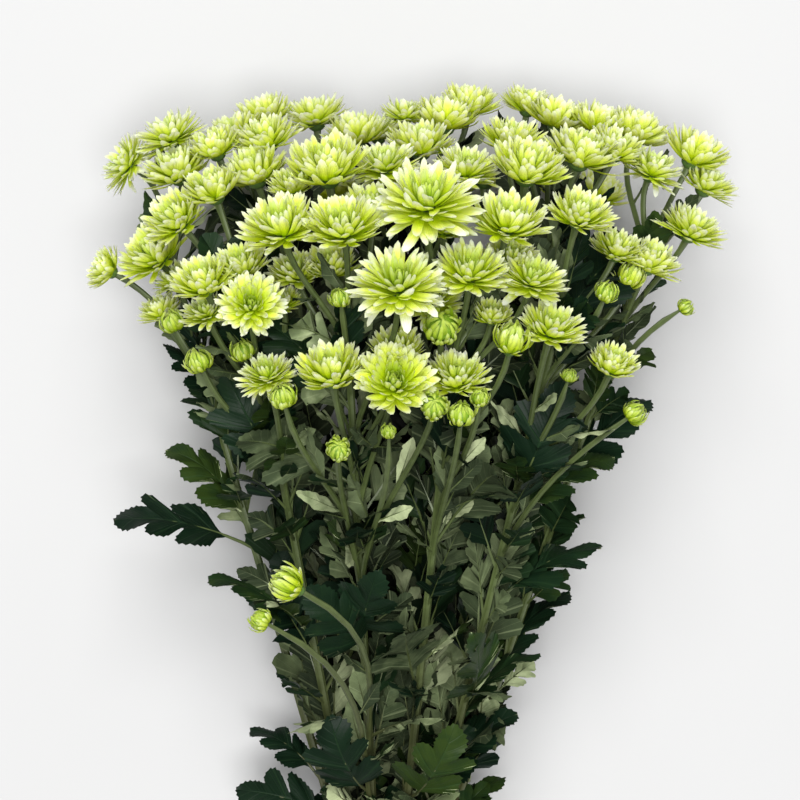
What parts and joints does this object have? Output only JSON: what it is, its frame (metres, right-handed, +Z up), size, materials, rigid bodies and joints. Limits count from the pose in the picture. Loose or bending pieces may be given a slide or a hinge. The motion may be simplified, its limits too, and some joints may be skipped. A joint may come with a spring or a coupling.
{
  "type": "bunch of spray chrysanthemums",
  "caption": "Tied bunch of lime-green spray chrysanthemums lying on its back: cut leafy stems that fan out from a rubber band to double flower heads and closed buds.",
  "frame": {"origin": "middle of the underside, on the surface the bunch lies on", "axes": "+Y along the stems towards the flower heads, +Z up, away from the surface"},
  "size_m": [0.4302, 0.717, 0.3248],
  "materials": {
    "petals": "matte",
    "young_petals": "matte",
    "greens": "satin",
    "rubber": "matte"
  },
  "bodies": {
    "root": {"bloom_back_01": "petals", "bloom_back_02": "petals", "bloom_back_03": "petals", "bloom_back_04": "petals", "bloom_back_05": "petals", "bloom_back_06": "petals", "bloom_back_07": "petals", "bloom_back_08": "petals", "bloom_back_09": "petals", "bloom_back_10": "petals", "bloom_middle_01": "petals", "bloom_middle_02": "petals", "bloom_middle_03": "petals", "bloom_middle_04": "petals", "bloom_middle_05": "petals", "bloom_middle_06": "petals", "bloom_middle_07": "petals", "bloom_middle_08": "petals", "bloom_middle_09": "petals", "bloom_middle_10": "petals", "bloom_middle_11": "petals", "bloom_front_01": "petals", "bloom_front_02": "petals", "bloom_front_03": "petals", "bloom_front_04": "petals", "bloom_front_05": "petals", "bloom_front_06": "petals", "bloom_front_07": "petals", "bloom_front_08": "petals", "bloom_front_09": "petals", "bloom_front_10": "petals", "bloom_front_11": "petals", "bloom_front_12": "petals", "bloom_front_13": "petals", "bloom_front_14": "petals", "bloom_front_15": "petals", "bloom_low_01": "petals", "bloom_low_02": "petals", "bloom_low_03": "petals", "bloom_low_04": "petals", "bloom_low_05": "young_petals", "bloom_low_06": "petals", "bloom_low_07": "young_petals", "bloom_under_01": "petals", "bloom_under_02": "petals", "bloom_under_03": "petals", "bloom_under_04": "petals", "stem_right": "greens", "stem_front_right": "greens", "stem_front_mid_right": "greens", "stem_front_mid_left": "greens", "stem_front_left": "greens", "stem_left": "greens", "stem_back_left": "greens", "stem_back_mid": "greens", "stem_back_right": "greens", "stem_inner_mid": "greens", "stem_inner_left": "greens", "stem_inner_right": "greens", "band": "rubber"}
  },
  "joints": []
}
